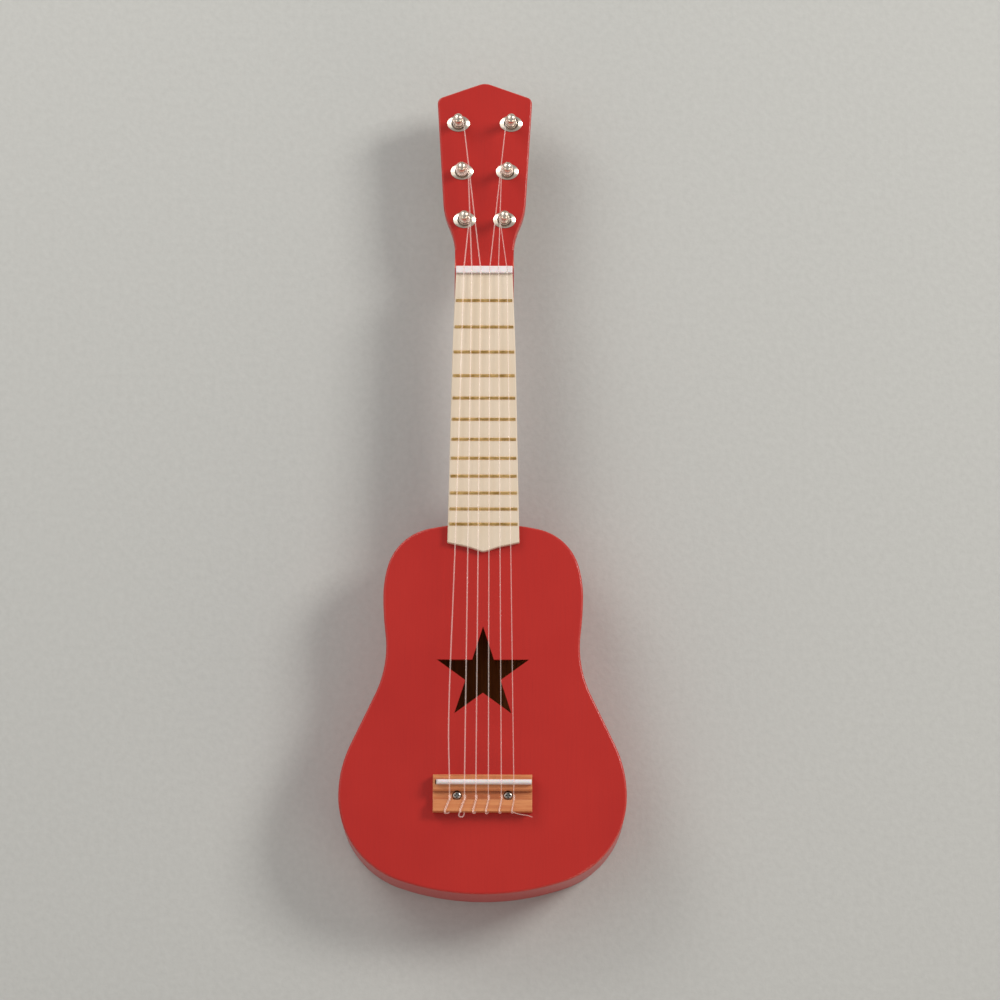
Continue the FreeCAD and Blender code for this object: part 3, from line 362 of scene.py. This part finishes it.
# Each material slot of the record, and what makes its material.
FINISHES = {
    "red_paint": red_paint,
    "inner_wood": raw_wood,
    "bridge_wood": bridge_wood,
    "fretboard_wood": fretboard_wood,
    "fret_brass": fret_brass,
    "white_plastic": white_plastic,
    "screw_steel": screw_steel,
    "peg_chrome": peg_chrome,
    "button_plastic": button_plastic,
    "nylon": nylon,
}


def dress_nodes(materials):
    """Gives every CAD node the material of its slot, and the two plates their own, bare inside."""
    plates = {
        "soundboard": red_paint("red_paint_front", -1),
        "back_plate": red_paint("red_paint_back", 1),
    }
    for part in frame["record"]["subparts"]:
        data = frame["nodes"][part["node"]].data
        data.materials.clear()
        data.materials.append(plates.get(part["node"], materials[part["material_slot"]]))


# ---------------------------------------------------------------- stage
FLOOR_HALF = 6.0                    # half the floor's side, in metres
FLOOR_GAP = 0.1 * MM                # between the floor and the guitar's back
AIM = Vector((10.6, -12.8, 50)) * MM    # the point that the camera looks at
CAMERA_AWAY = 2.875                 # from that point, in metres
CAMERA_LEAN, CAMERA_ROLL = math.radians(11), math.radians(0.15)
LENS, SENSOR = 161, 36              # focal length and sensor width, in millimetres
WARM = (1.0, 0.84, 0.72)            # of the two low lights
# Each light's place, its width and height in metres, its watts and its colour.
LIGHTS = {
    "key": ((1.8, 0.9, 1.6), (0.8, 0.8), 38, (1.0, 0.98, 0.95)),
    "fill": ((-1.5, 0.5, 1.8), (2.0, 2.0), 10.5, (0.97, 0.98, 1.0)),
    "head": ((-0.9, 1.1, 1.0), (0.9, 0.7), 9, (1.0, 0.97, 0.94)),
    "low_left": ((-1.5, -1.5, 0.6), (1.2, 0.8), 5, WARM),
    "low_right": ((1.5, -1.5, 0.6), (1.2, 0.8), 8, WARM),
}
SKY, SKY_STRENGTH = (0.96, 0.97, 1.0, 1.0), 0.35


def add(name, data):
    """A new object in the scene."""
    made = bpy.data.objects.new(name, data)
    bpy.context.scene.collection.objects.link(made)
    return made


def floor():
    """A square of paper just under the guitar."""
    half = FLOOR_HALF
    mesh = bpy.data.meshes.new("floor")
    corners = [(-half, -half, 0), (half, -half, 0), (half, half, 0), (-half, half, 0)]
    mesh.from_pydata(corners, [], [(0, 1, 2, 3)])
    mesh.materials.append(studio_paper())
    sheet = add("floor", mesh)
    sheet.location.z = CAD_BOX[0].z - FLOOR_GAP


def camera():
    """Straight at the front of the guitar, from a little towards its tail, with a long lens."""
    back = Vector((0, -math.sin(CAMERA_LEAN), math.cos(CAMERA_LEAN)))
    data = bpy.data.cameras.new("camera")
    data.lens = LENS
    data.sensor_width = SENSOR
    made = add("camera", data)
    made.location = AIM + back * CAMERA_AWAY
    made.rotation_mode = "QUATERNION"
    made.rotation_quaternion = back.to_track_quat("Z", "Y") @ Quaternion((0, 0, 1), CAMERA_ROLL)
    bpy.context.scene.camera = made


def soft_light(name, place, size, power, colour):
    """A diffuse panel of that width and height, aimed at the middle of the stage."""
    data = bpy.data.lights.new(name, "AREA")
    data.shape = "RECTANGLE"
    data.size, data.size_y = size
    data.energy = power
    data.color = colour
    made = add(name, data)
    made.location = place
    made.rotation_mode = "QUATERNION"
    made.rotation_quaternion = Vector(place).to_track_quat("Z", "Y")


def lights():
    """A key from the right, a broad fill and a head light from the left, two low at the tail."""
    for name, settings in LIGHTS.items():
        soft_light(name, *settings)
    world = bpy.data.worlds.new("studio")
    world.use_nodes = True
    sky = world.node_tree.nodes["Background"].inputs
    sky["Color"].default_value = SKY
    sky["Strength"].default_value = SKY_STRENGTH
    bpy.context.scene.world = world
    bpy.context.scene.view_settings.view_transform = "Standard"


# ---------------------------------------------------------------- strings
# Lengths here are in millimetres. Thickness, and where each string crosses the nut and the saddle:
STRINGS = {
    1: (0.85, -13.2, -20.9),
    2: (0.85, -8.05, -11.4),
    3: (0.8, -2.3, -4.2),
    4: (0.7, 3.5, 3.7),
    5: (0.65, 9.2, 11.9),
    6: (0.6, 14.8, 19.8),
}
# Where the slack first string bows aside: each point's x and its distance from the tail.
BOWS = {1: ((-17.7, 225.0), (-22.1, 112.0))}
# How far each tied end leans to the left, and how far its loop hangs out behind the bridge.
TIES = {1: (3.0, 1.1), 2: (2.8, 3.4), 3: (1.8, 1.0), 4: (1.6, 1.3), 5: (1.3, 1.0), 6: (1.2, 0.9)}
LOOSE_END = 6                       # this string's cut end lies along the back of the bridge
LAYERS = {1: 1, 2: 2, 3: 1, 4: 1, 5: 2, 6: 1}
TURNS = 3                           # wound in each of those layers
COIL_PITCH = 1.02                   # from turn to turn, in thicknesses of the string
POST_WAIST, POST_GAP = 2.5, 0.3     # the waist's radius, and the room between it and the string
POST_WRAP = 1.05                    # half turns that the string makes on its post
HEAD_STEP = 6.0                     # from the soundboard's face down to the headstock's
STRING_OVER_HEAD = 8.4              # above the headstock's face, where a string meets its post
NUT_SLOT = 6.0                      # from the nut's foot up to the bottom of a slot
TIE_HOLE, TIE_BLOCK = 5.0, 7.4      # a hole above the bridge's foot, and the width of its block
TIE_TWISTS, TIE_PHASE = 2.5, 0.6    # turns of the twisted pair, and its first angle in radians
TWIST_SPREAD = 1.12                 # of a strand from the pair's middle, in radii of the string
STEPS = 8                           # to half a turn on a post, and to a turn of a twist
# How far from a bend the points are that keep it tight.
BY_POST, BY_NUT, BY_SADDLE, BY_TIE = 1.0, 4.0, 2.0, 1.6


def mm(vector):
    """A point of the frame in millimetres."""
    return Vector(vector) / MM


def near(start, end, reach):
    """The point that far from start on the way to end."""
    return start + (end - start).normalized() * reach


def strand(name, points, diameter, body, node, material):
    """A round smooth thread along the points, all in millimetres, that stands for a CAD node."""
    curve = bpy.data.curves.new(name, "CURVE")
    curve.dimensions = "3D"
    curve.bevel_depth = diameter / 2 * MM
    curve.bevel_resolution = 3
    curve.resolution_u = 4
    curve.use_fill_caps = True
    spline = curve.splines.new("NURBS")
    spline.points.add(len(points) - 1)
    for place, point in zip(spline.points, points):
        place.co = (*(point * MM), 1.0)
    spline.order_u = 3
    spline.use_endpoint_u = True
    curve.materials.append(material)
    made = add(name, curve)
    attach(made, body)
    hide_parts(node)


def post_of(number):
    """The middle of the string's post, at the height where the string meets it."""
    low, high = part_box(f"peg_post_{number}")
    top = mm(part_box("soundboard")[1]).z
    middle = mm((low + high) / 2)
    return Vector((middle.x, middle.y, top - HEAD_STEP + STRING_OVER_HEAD))


def wrap_radius(number):
    """From the post's middle to the middle of the string, clear of the turns already wound on."""
    diameter = STRINGS[number][0]
    return POST_WAIST + (LAYERS[number] - 1) * diameter + POST_GAP + diameter / 2


def winding_way(hub):
    """1 for a post left of the middle, -1 for one on the right: the strings pass between them."""
    return 1 if hub.x < 0 else -1


def around_post(number, at_nut):
    """The half turn that a string makes on its post: from its free end to where it leaves."""
    hub, radius = post_of(number), wrap_radius(number)
    way = winding_way(hub)
    flat = Vector((hub.x - at_nut.x, hub.y - at_nut.y, 0))
    aim = math.atan2(flat.y, flat.x) - way * math.asin(radius / flat.length)
    first = aim - way * math.pi / 2
    turn = math.pi * POST_WRAP
    return [hub + Vector((math.cos(a), math.sin(a), 0)) * radius
            for a in (first + way * turn * k / STEPS for k in range(STEPS, -1, -1))]


def twist(start, end, radius, phase, backwards):
    """One strand of a twisted pair between two points, or the same from end to start."""
    count = int(TIE_TWISTS * STEPS)
    points = []
    for k in range(count + 1):
        share = k / count
        a = phase + 2 * math.pi * TIE_TWISTS * share
        offset = Vector((math.cos(a), 0, math.sin(a)))
        points.append(start.lerp(end, share) + offset * radius * TWIST_SPREAD)
    return points[::-1] if backwards else points


def tied_end(number, x, radius):
    """Through its hole, out behind the bridge, back over the block and twisted round itself."""
    lean, loop = TIES[number]
    low, high = (mm(corner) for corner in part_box("bridge"))
    hole = low.z + TIE_HOLE
    edge, groove, top = low.y, low.y + TIE_BLOCK, high.z
    start = Vector((x - lean, edge + 0.2, top + 2.0 * radius))
    end = Vector((x + 0.4, groove + 1.2, top + 1.2 * radius))
    # From the groove through the hole, then the loop behind the bridge that rises to its top.
    out = [
        Vector((x, groove + 1.0, hole)),
        Vector((x, groove - 1.0, hole)),
        Vector((x, edge - 0.2, hole)),
        Vector((x - 0.2 * lean, edge - loop, hole + 0.3)),
        Vector((x - 0.9 * lean - 0.3 * loop, edge - loop, hole + 1.4)),
        Vector((x - lean - 0.2 * loop, edge - 0.4 * loop - 0.3, top + radius)),
    ]
    # Round the string itself, between the two strands of the twist.
    hook = [
        end + Vector((radius * 1.5, 1.0, 0.4)),
        end + Vector((-radius * 0.6, 1.8, 0.2)),
        end + Vector((-radius * 2.4, 0.9, 0.1)),
    ]
    rest = [start + Vector((0.9, -0.7, 0.1 - radius))]
    if number == LOOSE_END:
        steps = ((2.6, -1.4, -1.0), (6.5, -2.1, -2.2), (10.0, -2.4, -2.6), (13.0, -3.6, -2.2))
        rest += [start + Vector(step) for step in steps]
    first = twist(start, end, radius, TIE_PHASE, False)
    second = twist(start, end, radius, TIE_PHASE + math.pi, True)
    return out + first + hook + second + rest


def string(number, material):
    """A string from its post over nut and saddle to its tied end, and the turns on its post."""
    diameter, x_nut, x_saddle = STRINGS[number]
    radius = diameter / 2
    nut_low, nut_high = (mm(corner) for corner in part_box("nut"))
    low, high = (mm(corner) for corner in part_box("saddle"))
    at_nut = Vector((x_nut, (nut_low.y + nut_high.y) / 2, nut_low.z + NUT_SLOT + radius))
    crest = Vector((x_saddle, (low.y + high.y) / 2, high.z + radius))
    tie = tied_end(number, x_saddle, radius)
    turn = around_post(number, at_nut)
    leave = turn[-1]
    path = [at_nut]
    for bow_x, station in BOWS.get(number, ()):
        y = mm(CAD_BOX[0]).y + station
        z = crest.z + (at_nut.z - crest.z) * (y - crest.y) / (at_nut.y - crest.y)
        path.append(Vector((bow_x, y, z)))
    path.append(crest)
    points = turn + [near(leave, at_nut, BY_POST), near(at_nut, leave, BY_NUT), at_nut]
    points += [near(at_nut, path[1], BY_NUT)] + path[1:-1] + [
        near(crest, path[-2], BY_SADDLE),
        crest,
        near(crest, tie[0], BY_TIE),
        near(tie[0], crest, BY_TIE),
    ]
    strand(f"nylon_{number}", points + tie, diameter, "guitar", f"string_{number}", material)
    coil(number, turn[0], material)


def coil(number, start, material):
    """The turns already wound on the post, layer by layer, which turn with it."""
    diameter = STRINGS[number][0]
    hub = post_of(number)
    pitch = diameter * COIL_PITCH
    top = hub.z - diameter - POST_GAP
    angle = math.atan2(start.y - hub.y, start.x - hub.x)
    way = winding_way(hub)
    count = (TURNS - 1) * 2 * STEPS
    points = []
    for layer in range(LAYERS[number]):
        radius = POST_WAIST + diameter / 2 + layer * diameter
        for k in range(count + 1):
            drop = k / count if layer % 2 == 0 else 1 - k / count
            a = angle + way * math.pi * k / STEPS
            z = top - drop * pitch * (TURNS - 1)
            points.append(Vector((hub.x + math.cos(a) * radius, hub.y + math.sin(a) * radius, z)))
    body, node = f"peg_{number}", f"string_winding_{number}"
    strand(f"coil_{number}", points, diameter, body, node, material)


# ---------------------------------------------------------------- main
def main():
    camera()
    floor()
    lights()
    materials = {slot: make() for slot, make in FINISHES.items()}
    dress_nodes(materials)
    for number in STRINGS:
        string(number, materials["nylon"])


main()
